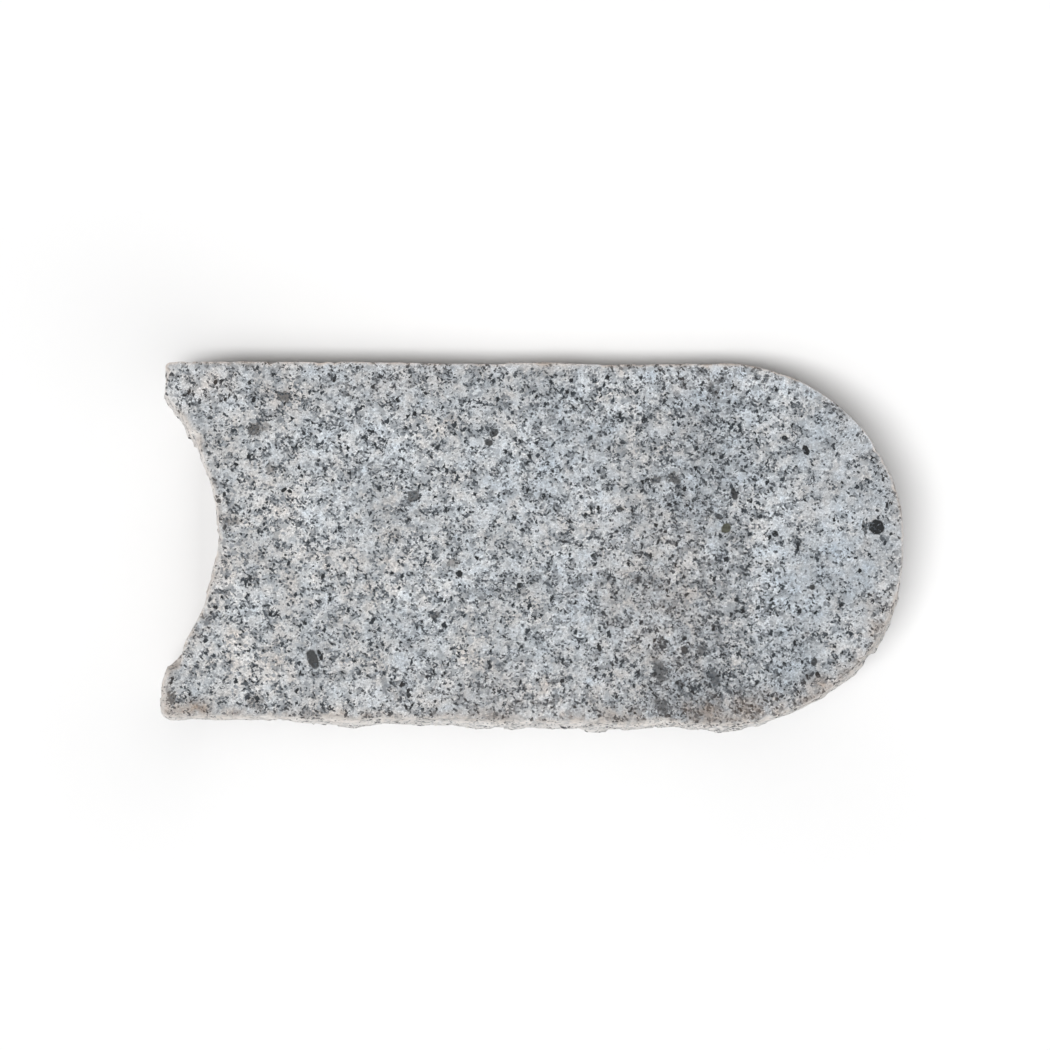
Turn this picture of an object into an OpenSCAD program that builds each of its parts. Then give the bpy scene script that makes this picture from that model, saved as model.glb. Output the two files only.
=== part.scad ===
// Granite kerb stone with a hinge joint: a sawn slab, split to shape with rough sides.
// One end is a round nose. The other is a hollow, which the nose of the next stone turns in,
// so that a row of these stones follows a curve. +X runs towards the nose, +Y towards the
// back of the stone, and the bed lies at z = 0. All sizes are in millimetres.

/* [Stone] */
// Length from the horn tips to the crown of the nose, over the split faces
stone_length = 200; // [160:1:400]
// Width over the split sides
stone_width = 99; // [90:1:160]
// Height from the sawn bed to the sawn tread
stone_height = 50; // [30:1:120]

/* [Hinge joint] */
// Depth of the hollow behind the horn tips
hollow_depth = 14.5; // [8:0.5:20]
// Free gap between the hollow and the nose of the next stone
joint_gap = 2.5; // [0.5:0.5:5]
// Distance of the hollow's axis from the nose's, towards the back
hollow_offset = 2.5; // [-4:0.5:4]
// Radius of the outer corners of the horns
horn_round = 1.5; // [1:0.5:6]

/* [Split sides] */
// Direction that the split sides bulge towards, counter-clockwise from the nose
bulge_angle = 260; // [0:5:355]
// Swell past the arrises of a side that faces the bulge
bulge_swell = 1.6; // [0:0.1:4]
// Swell of a side that faces away from the bulge: below 0 it is undercut
lee_swell = -0.6; // [-2:0.1:2]
// How far the front arris draws in from the nose to the horns
front_taper = 1.5; // [0:0.25:3]
// Height of the fracture waves
split_relief = 0.9; // [0:0.1:2]
// Length of the longest fracture waves
split_wave = 26; // [16:1:60]
// Distance between the points that the split faces are laid through
split_step = 3.5; // [2.5:0.5:8]
// Share of the fracture waves that is left at the arrises
arris_wear = 0.12; // [0:0.02:1]

/* [Hidden] */
stone_colour = [0.65, 0.66, 0.67];

// The stone was split from one side, so its sides bulge one way and are undercut the other way.
bulge = [cos(bulge_angle), sin(bulge_angle)];
function swell_at(out) = mix(lee_swell, bulge_swell, (1 + out * bulge) / 2);

// The arrises stay inside the stone's box by as much as the sides swell and wave past them.
function inset(out) = max(0, swell_at(out)) + split_relief;
front_y = -stone_width / 2 + inset([0, -1]);
back_y = stone_width / 2 - inset([0, 1]);
horn_x = -stone_length / 2 + inset([-1, 0]);
crown_x = stone_length / 2 - inset([1, 0]);
front_horn_y = front_y + front_taper;

// The nose is a full half round. The hollow clears the nose of the next stone, swell included.
nose_radius = (back_y - front_y) / 2;
nose_x = crown_x - nose_radius;
nose_y = front_y + nose_radius;
hollow_radius = nose_radius + inset([1, 0]) + inset([-1, 0]) + joint_gap;
hollow_x = horn_x + hollow_depth - hollow_radius;
hollow_y = nose_y + hollow_offset;
hollow_angle = acos((hollow_radius - hollow_depth) / hollow_radius);
hollow_reach = hollow_radius * sin(hollow_angle);

// Bosses and dips of the fracture that are larger than its waves. Each is the distance from
// mid-length, the side (-1 front, 1 back), the height above the bed as a share of the stone's
// height, how far it stands out, and how far it spreads.
bosses = [
    [-77, -1, 0.8, -0.7, 9],
    [-12, -1, 0.8, 0.8, 7],
    [18, -1, 0.75, 1.1, 8],
    [33, -1, 0.8, -0.8, 6],
    [52, -1, 0.75, 1, 10],
    [6, 1, 0.85, 0.6, 6],
    [58, 1, 0.8, 0.5, 7],
];

// Points from a towards b, without b itself
function straight(a, b) =
    let (count = max(1, round(norm(b - a) / split_step)))
    [for (i = [0 : count - 1]) a + (b - a) * i / count];

// Points round a centre from one angle towards another, without the last
function arc(centre, radius, from, to) =
    let (count = max(3, round(abs(to - from) * PI / 180 * radius / split_step)))
    [for (i = [0 : count - 1])
        let (angle = from + (to - from) * i / count)
        centre + radius * [cos(angle), sin(angle)]];

// Line of the arrises, counter-clockwise from the front of the front horn
plan = concat(
    straight([horn_x + horn_round, front_horn_y], [nose_x, front_y]),
    arc([nose_x, nose_y], nose_radius, -90, 90),
    straight([nose_x, back_y], [horn_x + horn_round, back_y]),
    arc([horn_x + horn_round, back_y - horn_round], horn_round, 90, 180),
    straight([horn_x, back_y - horn_round], [horn_x, hollow_y + hollow_reach]),
    arc([hollow_x, hollow_y], hollow_radius, hollow_angle, -hollow_angle),
    straight([horn_x, hollow_y - hollow_reach], [horn_x, front_horn_y + horn_round]),
    arc([horn_x + horn_round, front_horn_y + horn_round], horn_round, 180, 270)
);
columns = len(plan);

// Outward direction at each point of the plan, square to the line through its neighbours
outward = [for (i = [0 : columns - 1])
    let (along = plan[(i + 1) % columns] - plan[(i + columns - 1) % columns])
    [along.y, -along.x] / norm(along)];

// The rows of the split block crowd towards the arrises. The block is taller than the slab, and
// the saw planes pass between its two outermost rows at each end.
rows = ceil(stone_height / split_step) + 1;
row_crowding = 0.6;
function row_z(row) =
    let (share = (row - 0.5) / (rows - 1))
    stone_height * mix(share, ease(share), row_crowding);

// Fixed number from 0 to 1 for each corner of a unit grid
function chance(x, y, z) =
    let (wave = 43758.5453 * sin(127.1 * x + 311.7 * y + 74.7 * z))
    wave - floor(wave);
function ease(t) = t * t * (3 - 2 * t);
function mix(a, b, t) = a + (b - a) * t;

// Smooth noise from -1 to 1: eased between the eight grid corners round the point
function noise(p) =
    let (
        x = floor(p.x),
        y = floor(p.y),
        z = floor(p.z),
        u = ease(p.x - x),
        v = ease(p.y - y),
        low = mix(
            mix(chance(x, y, z), chance(x + 1, y, z), u),
            mix(chance(x, y + 1, z), chance(x + 1, y + 1, z), u),
            v
        ),
        high = mix(
            mix(chance(x, y, z + 1), chance(x + 1, y, z + 1), u),
            mix(chance(x, y + 1, z + 1), chance(x + 1, y + 1, z + 1), u),
            v
        )
    )
    2 * mix(low, high, ease(p.z - z)) - 1;

// Fracture waves: each octave is shorter than the last and half as high
octaves = 3;
octave_ratio = 2.1;
octave_shift = [17, 5, 11];
function fracture(p) =
    let (waves = [for (k = [0 : octaves - 1])
        noise(p / split_wave * pow(octave_ratio, k) + octave_shift * k) / pow(2, k)])
    waves * [for (wave = waves) 1];

// What the bosses add at a point: a bell round each one's middle
function bossed(p) =
    let (bells = [for (b = bosses)
        let (middle = [b[0], b[1] < 0 ? front_y : back_y, b[2] * stone_height])
        b[3] * exp(-pow(norm(p - middle) / b[4], 2))])
    bells * [for (bell = bells) 1];

// Flat-topped swell between the arrises: 0 at the bed and the tread, 1 at half height
swell_power = 8;
function fullness(z) = 1 - pow(min(1, abs(2 * z / stone_height - 1)), swell_power);

// How far the split face stands out from the arris line at a point over the plan
function stand_out(p, out) =
    swell_at(out) * fullness(p.z)
    + mix(arris_wear, 1, fullness(p.z)) * (split_relief * fracture(p) + bossed(p));

// Block split along the plan, taller than the slab at both faces
module split_block() {
    sides = [for (row = [0 : rows]) for (i = [0 : columns - 1])
        let (
            p = [plan[i].x, plan[i].y, row_z(row)],
            move = outward[i] * stand_out(p, outward[i])
        )
        [p.x + move.x, p.y + move.y, p.z]];
    bed_middle = len(sides);
    tread_middle = bed_middle + 1;
    walls = [for (row = [0 : rows - 1]) for (i = [0 : columns - 1])
        let (
            a = row * columns + i,
            b = row * columns + (i + 1) % columns,
            c = b + columns,
            d = a + columns
        )
        each [[a, d, c], [a, c, b]]];
    ends = [for (i = [0 : columns - 1])
        let (next = (i + 1) % columns, top = rows * columns)
        each [[bed_middle, i, next], [tread_middle, top + next, top + i]]];
    polyhedron(
        points = concat(sides, [[0, 0, row_z(0)], [0, 0, row_z(rows)]]),
        faces = concat(walls, ends),
        convexity = 4
    );
}

// Slab between the two sawn faces
module sawn_slab() {
    translate([-stone_length, -stone_width, 0])
        cube([2 * stone_length, 2 * stone_width, stone_height]);
}

module kerb_stone() {
    color(stone_colour)
        intersection() {
            sawn_slab();
            split_block();
        }
}

kerb_stone();
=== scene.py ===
"""Granite kerb stone with a round nose and a hollow end, dressed for rendering.

The stone is one closed surface: a split side carried round the plan, with a sawn face above
and below. Its frame is the stone's own: +X runs towards the nose, +Y towards the back and
+Z up from the bed. Lengths are in millimetres until a mesh, a lamp or a camera takes them.
"""

import itertools
import logging
import math
from dataclasses import dataclass
from enum import Enum

import bpy
import numpy as np
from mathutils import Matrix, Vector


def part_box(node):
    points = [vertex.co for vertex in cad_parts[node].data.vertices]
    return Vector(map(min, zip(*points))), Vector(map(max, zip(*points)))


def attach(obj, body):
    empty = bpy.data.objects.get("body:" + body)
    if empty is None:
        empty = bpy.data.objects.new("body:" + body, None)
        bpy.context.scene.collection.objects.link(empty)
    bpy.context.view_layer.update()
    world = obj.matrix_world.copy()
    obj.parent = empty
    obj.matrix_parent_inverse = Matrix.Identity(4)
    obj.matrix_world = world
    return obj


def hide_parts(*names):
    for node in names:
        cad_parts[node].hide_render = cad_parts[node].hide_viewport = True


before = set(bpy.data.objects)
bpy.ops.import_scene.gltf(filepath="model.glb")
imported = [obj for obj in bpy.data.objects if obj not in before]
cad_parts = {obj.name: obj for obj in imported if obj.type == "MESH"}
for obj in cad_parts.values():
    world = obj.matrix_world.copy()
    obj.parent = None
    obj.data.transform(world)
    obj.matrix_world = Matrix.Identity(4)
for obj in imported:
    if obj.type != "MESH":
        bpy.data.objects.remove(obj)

log = logging.getLogger("kerb_stone")

Array = np.ndarray
Colour = tuple[float, float, float]
Stops = tuple[tuple[float, Colour], ...]
Socket = bpy.types.NodeSocket

MM = 0.001
NODE = "kerb_stone"

# Display curve: its white, where its straight foot ends, the foot's slope, and the offset and power
# of the rest
DISPLAY_WHITE = 255.0
FOOT_END = 0.04045
FOOT_SLOPE = 12.92
CURVE_OFFSET = 0.055
CURVE_POWER = 2.4


def grey(level: float, warmth: float = 0.0) -> Colour:
    """Turn a display grey into the linear colour that shaders take.

    The display value becomes linear by a power of 2.4, with a short straight foot by black.

    Args:
        level: Display value from 0 to 255.
        warmth: Shift from blue to red, in display steps.

    Returns:
        Linear red, green and blue.
    """
    steps = np.clip(np.array([level + warmth, level, level - warmth]) / DISPLAY_WHITE, 0.0, 1.0)
    curve = ((steps + CURVE_OFFSET) / (1.0 + CURVE_OFFSET)) ** CURVE_POWER
    return tuple(float(value) for value in np.where(steps <= FOOT_END, steps / FOOT_SLOPE, curve))


# Noise on a unit grid

CORNER_TURNS = np.array([127.1, 311.7, 74.7])
CORNER_WAVE = 43758.5453
# Draws for one crystal: three for its place, three for its tilt and one for its level
DRAWS = 7
# Turns in degrees that set apart the draws of one crystal, and the generations of crystals
DRAW_SALT = 41.3
GENERATION_SALT = 17.9


def chance(corners: Array, salt: float = 0.0) -> Array:
    """Give each corner of a unit grid a fixed number from 0 to 1.

    The number is what is left after the point of a very tall sine wave of the corner's place.

    Args:
        corners: Whole-number grid corners, with three values in the last axis.
        salt: Turn in degrees that gives another set of numbers.

    Returns:
        One number for each corner.
    """
    wave = CORNER_WAVE * np.sin(np.radians(corners @ CORNER_TURNS + salt))
    return wave - np.floor(wave)


def noise(points: Array) -> Array:
    """Give smooth noise from -1 to 1.

    The numbers of the eight grid corners round a point are blended with the weight
    t * t * (3 - 2 * t) along each axis.

    Args:
        points: Places in grid units, with three values in the last axis.

    Returns:
        One value for each point.
    """
    base = np.floor(points)
    part = points - base
    part = part * part * (3.0 - 2.0 * part)
    total = np.zeros(points.shape[:-1])
    for corner in itertools.product((0, 1), repeat=3):
        weight = np.prod(np.where(corner, part, 1.0 - part), axis=-1)
        total += weight * chance(base + corner)
    return 2.0 * total - 1.0


def crystal_planes(points: Array, salt: float) -> Array:
    """Give the relief of broken crystals, about -1 to 1.

    Every cell of the grid holds one crystal at a chance place. A point takes the tilted plane
    of the crystal nearest to it: the crystal's own level plus its tilt times the way there.

    Args:
        points: Places in crystal sizes, with three values in the last axis.
        salt: Turn in degrees that gives another set of crystals.

    Returns:
        One height for each point.
    """
    base = np.floor(points)
    nearest = np.full(points.shape[:-1], np.inf)
    height = np.zeros(points.shape[:-1])
    for step in itertools.product((-1, 0, 1), repeat=3):
        cell = base + step
        draws = np.stack([chance(cell, salt + DRAW_SALT * turn) for turn in range(1, DRAWS + 1)], axis=-1)
        place, tilt, level = draws[..., 0:3], draws[..., 3:6], draws[..., -1]
        away = points - (cell + place)
        distance = np.sum(away * away, axis=-1)
        plane = level - 0.5 + np.sum((tilt - 0.5) * away, axis=-1)
        closer = distance < nearest
        nearest = np.where(closer, distance, nearest)
        height = np.where(closer, plane, height)
    return height


# Shape of the stone


def grid_cells(index: Array) -> Array:
    """Give the four vertex numbers of each cell of a grid, in the order of its axes."""
    return np.stack([index[:-1, :-1], index[1:, :-1], index[1:, 1:], index[:-1, 1:]], axis=-1)


class Side(Enum):
    """The four stretches of the plan, counter-clockwise from the front horn."""

    FRONT = "front"
    NOSE = "nose"
    BACK = "back"
    HOLLOW = "hollow"


@dataclass(frozen=True)
class Boss:
    """Swelling or dip of a split side, larger than its waves."""

    x: float
    side: int
    level: float
    height: float
    spread: float


@dataclass(frozen=True)
class Fracture:
    """Relief of the split sides: the solid's own waves, with broken crystals on them."""

    bulge_angle: float = 260.0
    bulge_swell: float = 1.6
    lee_swell: float = -0.6
    relief: float = 0.9
    wave: float = 26.0
    arris_wear: float = 0.12
    swell_power: int = 8
    octaves: int = 3
    octave_ratio: float = 2.1
    octave_shift: tuple[float, float, float] = (17.0, 5.0, 11.0)
    bosses: tuple[Boss, ...] = (
        Boss(-77.0, -1, 0.8, -0.7, 9.0),
        Boss(-12.0, -1, 0.8, 0.8, 7.0),
        Boss(18.0, -1, 0.75, 1.1, 8.0),
        Boss(33.0, -1, 0.8, -0.8, 6.0),
        Boss(52.0, -1, 0.75, 1.0, 10.0),
        Boss(6.0, 1, 0.85, 0.6, 6.0),
        Boss(58.0, 1, 0.8, 0.5, 7.0),
    )
    # Size and height of each generation of broken crystals, from hackles down to grains
    crystals: tuple[tuple[float, float], ...] = ((11.0, 0.9), (4.6, 0.6), (2.1, 0.34))

    def swell(self, outward: Array) -> Array:
        """Give the swell of a side by the way that it faces.

        It runs evenly from the lee swell to the bulge swell with the cosine of the angle
        between the side's outward direction and the bulge.
        """
        angle = math.radians(self.bulge_angle)
        facing = (1.0 + outward @ np.array([math.cos(angle), math.sin(angle)])) / 2.0
        return self.lee_swell + (self.bulge_swell - self.lee_swell) * facing

    def inset(self, x: float, y: float) -> float:
        """Give how far the arris stays inside the box on the side that faces a direction."""
        return max(0.0, float(self.swell(np.array([x, y])))) + self.relief

    def fullness(self, level: Array) -> Array:
        """Give the flat-topped swell: 1 less a high power of the way from half height."""
        return 1.0 - np.minimum(1.0, np.abs(2.0 * level - 1.0)) ** self.swell_power

    def waves(self, points: Array) -> Array:
        """Add up the octaves of noise, each shorter than the last and half as high."""
        shift = np.array(self.octave_shift)
        return sum(
            noise(points / self.wave * self.octave_ratio ** octave + shift * octave) / 2.0 ** octave
            for octave in range(self.octaves)
        )

    def bossed(self, points: Array, front: float, back: float, height: float) -> Array:
        """Add up the bosses: each is a bell, exp(-(distance / spread) ** 2), round its middle."""
        total = np.zeros(points.shape[:-1])
        for boss in self.bosses:
            middle = np.array([boss.x, front if boss.side < 0 else back, boss.level * height])
            distance = np.linalg.norm(points - middle, axis=-1)
            total += boss.height * np.exp(-((distance / boss.spread) ** 2))
        return total

    def broken(self, points: Array) -> Array:
        """Add up the generations of broken crystals, each at its own size and height."""
        return sum(
            height * crystal_planes(points / size, GENERATION_SALT * turn)
            for turn, (size, height) in enumerate(self.crystals)
        )


@dataclass(frozen=True)
class StonePlan:
    """Line of the arrises, with the sizes that the stone's solid has."""

    fracture: Fracture
    length: float = 200.0
    width: float = 99.0
    hollow_depth: float = 14.5
    hollow_offset: float = 2.5
    joint_gap: float = 2.5
    horn_round: float = 1.5
    front_taper: float = 1.5
    cell: float = 0.85
    points_per_degree: int = 4

    @property
    def front(self) -> float:
        """Place of the front arris across the stone."""
        return -self.width / 2.0 + self.fracture.inset(0.0, -1.0)

    @property
    def back(self) -> float:
        """Place of the back arris across the stone."""
        return self.width / 2.0 - self.fracture.inset(0.0, 1.0)

    @property
    def horn_x(self) -> float:
        """Place of the horn tips along the stone."""
        return -self.length / 2.0 + self.fracture.inset(-1.0, 0.0)

    @property
    def nose_radius(self) -> float:
        """Radius of the nose, which is a full half round between the side arrises."""
        return (self.back - self.front) / 2.0

    @property
    def nose(self) -> tuple[float, float]:
        """Place of the nose's axis."""
        crown = self.length / 2.0 - self.fracture.inset(1.0, 0.0)
        return crown - self.nose_radius, (self.back + self.front) / 2.0

    @property
    def hollow_radius(self) -> float:
        """Radius of the hollow, which clears the next nose and the swell of both."""
        split = self.fracture
        return self.nose_radius + split.inset(1.0, 0.0) + split.inset(-1.0, 0.0) + self.joint_gap

    @property
    def hollow(self) -> tuple[float, float]:
        """Place of the hollow's axis, outside the stone."""
        return self.horn_x + self.hollow_depth - self.hollow_radius, self.nose[1] + self.hollow_offset

    def arc(self, centre: tuple[float, float], radius: float, start: float, end: float) -> Array:
        """Give closely spaced points round a centre, between two angles in degrees.

        Each point is the centre plus the radius times the cosine and sine of its angle.
        """
        count = 1 + round(abs(end - start) * self.points_per_degree)
        angles = np.radians(np.linspace(start, end, count))
        return np.stack([centre[0] + radius * np.cos(angles), centre[1] + radius * np.sin(angles)], axis=-1)

    def stretches(self) -> dict[Side, Array]:
        """Lay out the four stretches of the plan as lines through close points.

        The stretches meet half way round the outer horn corners and half way from the sides
        to the crown of the nose, so that each sawn face is a patch with four edges.

        Returns:
            The points of each stretch, from where the last one ends.
        """
        corner, nose, radius = self.horn_round, self.nose, self.nose_radius
        front_horn = (self.horn_x + corner, self.front + self.front_taper + corner)
        back_horn = (self.horn_x + corner, self.back - corner)
        turn = math.degrees(math.acos(1.0 - self.hollow_depth / self.hollow_radius))
        hollow = self.arc(self.hollow, self.hollow_radius, turn, -turn)
        return {
            Side.FRONT: np.concatenate([
                self.arc(front_horn, corner, 225.0, 270.0), self.arc(nose, radius, 270.0, 315.0)]),
            Side.NOSE: self.arc(nose, radius, -45.0, 45.0),
            Side.BACK: np.concatenate([
                self.arc(nose, radius, 45.0, 90.0), self.arc(back_horn, corner, 90.0, 135.0)]),
            Side.HOLLOW: np.concatenate([
                self.arc(back_horn, corner, 135.0, 180.0),
                hollow,
                self.arc(front_horn, corner, 180.0, 225.0)]),
        }

    def counts(self) -> tuple[int, int]:
        """Give how many cells run along the stone and across it."""
        lines = self.stretches()
        along = np.sum(np.linalg.norm(np.diff(lines[Side.FRONT], axis=0), axis=-1))
        across = np.sum(np.linalg.norm(np.diff(lines[Side.HOLLOW], axis=0), axis=-1))
        return round(along / self.cell), round(across / self.cell)

    def ring(self) -> Array:
        """Space the columns of the split side evenly along each stretch of the plan.

        A column's place is looked up by the length of line run so far.

        Returns:
            One point for each column, counter-clockwise from the front horn.
        """
        along, across = self.counts()
        points = []
        for side, line in self.stretches().items():
            run = np.concatenate([[0.0], np.cumsum(np.linalg.norm(np.diff(line, axis=0), axis=-1))])
            count = across if side in (Side.NOSE, Side.HOLLOW) else along
            places = np.linspace(0.0, run[-1], count, endpoint=False)
            points.append(np.stack([np.interp(places, run, line[:, axis]) for axis in (0, 1)], axis=-1))
        return np.concatenate(points)

    def depth(self, points: Array) -> Array:
        """Give how far points of a sawn face lie inside the plan.

        It is the least of the distances to the sides and nose, to the hollow and to the horn tips.

        Args:
            points: Places with x and y first in the last axis.

        Returns:
            One distance for each point, in millimetres.
        """
        x, y = points[..., 0], points[..., 1]
        nose = self.nose_radius - np.hypot(np.maximum(x - self.nose[0], 0.0), y - self.nose[1])
        hollow = np.hypot(x - self.hollow[0], y - self.hollow[1]) - self.hollow_radius
        return np.minimum(np.minimum(nose, hollow), x - self.horn_x)

    def stand_out(self, points: Array, outward: Array, height: float) -> Array:
        """Give how far the split side stands out from the arris line.

        The swell comes first. The waves, bosses and crystals are added, and fade to a share
        of their height at the arrises.

        Args:
            points: Places on the upright wall over the plan, by row and column.
            outward: Outward direction of each column.
            height: The stone's height.

        Returns:
            One distance for each point.
        """
        split = self.fracture
        fullness = split.fullness(points[..., 2] / height)
        rough = split.relief * split.waves(points) + split.broken(points)
        rough += split.bossed(points, self.front, self.back, height)
        share = split.arris_wear + (1.0 - split.arris_wear) * fullness
        return split.swell(outward) * fullness + share * rough


@dataclass(frozen=True)
class Chip:
    """A flake that has broken off the arris of the tread."""

    x: float
    y: float
    depth: float
    spread: float


@dataclass(frozen=True)
class ArrisWear:
    """How the sharp edges between sawn and split faces have crumbled.

    The loss has a depth into the side, and a drop of the arris as a part of it. It dies away over
    the reach, and the tread is paled over the bruise, by the paling even where nothing is lost.
    """

    bevel: float = 0.15
    depth: float = 0.8
    drop: float = 0.7
    reach: float = 0.8
    bruise: float = 1.2
    paling: float = 0.35
    # Noise that stands above the share is lost: its size, and the height and place of its finer half
    share: float = 0.2
    size: float = 2.6
    fine_height: float = 0.6
    fine_ratio: float = 2.3
    fine_shift: float = 31.0
    chips: tuple[Chip, ...] = (
        Chip(-89.6, 28.6, 1.3, 2.2),
        Chip(34.0, -47.5, 1.0, 4.0),
        Chip(-97.0, 45.5, 1.0, 2.5),
    )
    # The one large flake, off the front horn, and how far down the side it runs
    flake: Chip = Chip(-96.0, -31.5, 3.2, 4.0)
    flake_down: float = 12.0

    def crumble(self, points: Array) -> Array:
        """Give how deep the arris has crumbled at each place.

        Two sizes of noise are added, and what stands above a threshold is broken away. The
        listed chips are bells on top of that.
        """
        fine = noise(points / self.size * self.fine_ratio + self.fine_shift)
        rough = noise(points / self.size) + self.fine_height * fine
        loss = self.depth * np.clip(rough - self.share, 0.0, 1.0)
        for chip in self.chips:
            distance = np.hypot(points[..., 0] - chip.x, points[..., 1] - chip.y)
            loss = loss + chip.depth * np.exp(-((distance / chip.spread) ** 2))
        return loss

    def flaked(self, points: Array, below: Array) -> Array:
        """Give how deep the large flake cuts in.

        It is a bell over the flake's spread, times a bell over how far down the side it runs.

        Args:
            points: Places on the side.
            below: How far each of them lies below the tread.

        Returns:
            One depth for each place.
        """
        away = np.hypot(points[..., 0] - self.flake.x, points[..., 1] - self.flake.y) / self.flake.spread
        return self.flake.depth * np.exp(-(away ** 2) - (below / self.flake_down) ** 2)

    def fade(self, distance: Array) -> Array:
        """Let the loss die away from the arris as a bell of the given reach."""
        return np.exp(-((distance / self.reach) ** 2))


@dataclass(frozen=True)
class Stain:
    """A patch on the tread that fades outwards, with its half length and half width."""

    x: float
    y: float
    long: float
    wide: float
    strength: float

    def at(self, points: Array) -> Array:
        """Give the patch's strength at each point: a bell over its half sizes."""
        along = (points[..., 0] - self.x) / self.long
        across = (points[..., 1] - self.y) / self.wide
        return self.strength * np.exp(-(along ** 2) - across ** 2)


@dataclass(frozen=True)
class Weather:
    """Where the stone has taken on a rust-brown film, and where its granite is darker."""

    front_power: int = 3
    rim: float = 3.0
    front_rim: float = 0.65
    back_rim: float = 0.15
    front_side: float = 0.05
    back_side: float = 0.55
    front_top: float = 0.25
    top_reach: float = 3.0
    stains: tuple[Stain, ...] = (
        Stain(-90.5, -43.9, 4.8, 2.1, 1.2),
        Stain(-79.0, -45.0, 3.5, 1.6, 0.8),
        Stain(-64.5, -45.5, 8.0, 1.4, 0.6),
        Stain(-42.5, -45.5, 7.0, 1.4, 0.6),
        Stain(-13.0, -44.5, 3.5, 1.8, 0.8),
        Stain(8.5, -45.0, 3.5, 1.6, 0.8),
        Stain(26.0, -45.0, 12.0, 3.0, 0.6),
        Stain(45.5, -43.0, 7.0, 4.0, 0.8),
        Stain(60.0, -43.0, 9.0, 4.5, 0.75),
        Stain(78.0, -37.5, 6.0, 3.2, 0.7),
        Stain(91.0, -20.5, 2.6, 7.0, 0.65),
        Stain(-86.0, 42.0, 8.0, 5.0, 0.3),
        Stain(-42.0, 42.5, 12.0, 4.0, 0.25),
        Stain(44.0, 43.0, 12.0, 4.0, 0.25),
        Stain(33.0, -17.0, 16.0, 27.0, 0.3),
        Stain(0.0, -42.0, 42.0, 9.0, 0.25),
    )
    shades: tuple[Stain, ...] = (
        Stain(47.0, 2.0, 16.0, 60.0, 0.08),
        Stain(49.0, 20.0, 16.0, 16.0, 0.07),
        Stain(55.0, -33.0, 30.0, 14.0, 0.07),
        Stain(42.0, -42.0, 16.0, 8.0, 0.19),
        Stain(68.0, -40.0, 14.0, 7.0, 0.06),
        Stain(3.0, 37.0, 20.0, 8.0, 0.07),
        Stain(0.0, -13.0, 40.0, 8.0, 0.03),
        Stain(82.0, 6.0, 18.0, 28.0, -0.12),
        Stain(-87.0, -43.5, 11.0, 4.0, -0.12),
    )

    def shade(self, points: Array) -> Array:
        """Give how dark the granite is: the sum of the shades, which go right through the stone.

        Where it is below 0 the dark minerals are fewer, in a ground that is as much duller.
        """
        return sum(stain.at(points) for stain in self.shades)

    def on_side(self, outward: Array, below: Array) -> Array:
        """Give the film of a split side.

        It grows evenly from the front round to the back. From the arris of the tread it dies
        away downwards as a bell, from a height that falls off quickly from the front to the back.

        Args:
            outward: Outward direction of each column of the side.
            below: How far each row lies below the tread.

        Returns:
            One value for each row and column.
        """
        back = (1.0 + outward[:, 1]) / 2.0
        top = self.front_top * np.exp(-((below[:, None] / self.top_reach) ** 2))
        top = top * (1.0 - back) ** self.front_power
        return self.front_side + (self.back_side - self.front_side) * back + top

    def on_tread(self, points: Array, depth: Array, width: float) -> Array:
        """Give the film of the tread.

        It dies away from the arris as a bell, from a height that falls off quickly from the front
        to the back. The stains are bells over their half sizes, and the strongest of all shows.

        Args:
            points: Places on the tread.
            depth: How far each place lies inside the arris.
            width: Width of the stone.

        Returns:
            One value for each place.
        """
        back = np.clip(points[..., 1] / width + 0.5, 0.0, 1.0)
        rim = self.back_rim + (self.front_rim - self.back_rim) * (1.0 - back) ** self.front_power
        film = rim * np.exp(-((np.maximum(depth, 0.0) / self.rim) ** 2))
        for stain in self.stains:
            film = np.maximum(film, stain.at(points))
        return film


@dataclass(frozen=True)
class BakeSheet:
    """Places of the stone's faces on the flat map that its finish is baked to, in millimetres."""

    sheet: float = 262.0
    margin: float = 2.5
    strips: int = 3
    bed_share: float = 0.48
    # Part of a strip by which a cell may start early and still count to it
    rounding: float = 1e-6

    def on_sheet(self, x: Array, y: Array) -> Array:
        """Turn millimetres on the sheet into map coordinates from 0 to 1."""
        return np.stack([x, y], axis=-1) / self.sheet

    def tread(self, points: Array, plan: StonePlan) -> Array:
        """Lay the tread flat along the lower edge of the sheet."""
        x = points[..., 0] + plan.length / 2.0 + self.margin
        return self.on_sheet(x, points[..., 1] + plan.width / 2.0 + self.margin)

    def bed(self, points: Array, plan: StonePlan) -> Array:
        """Lay the bed, turned a quarter and smaller, beside the tread."""
        x = plan.length + 2.0 * self.margin + self.bed_share * (points[..., 1] + plan.width / 2.0)
        y = self.margin + self.bed_share * (points[..., 0] + plan.length / 2.0)
        return self.on_sheet(x + self.margin, y)

    def side(self, run: Array, level: Array, total: float, plan: StonePlan, height: float) -> Array:
        """Unroll the split side in strips above the tread.

        Args:
            run: Length along the plan at each corner of each cell, four to a cell.
            level: Height above the bed at the same corners.
            total: Length of the whole plan.
            plan: The stone's plan.
            height: The stone's height.

        Returns:
            Map coordinates of each corner.
        """
        strip_length = total / self.strips
        strip = np.floor(np.min(run, axis=-1, keepdims=True) / strip_length + self.rounding)
        x = self.margin + run - strip * strip_length
        y = plan.width + 3.0 * self.margin + strip * (height + self.margin / 2.0) + level
        return self.on_sheet(x, y)


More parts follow.
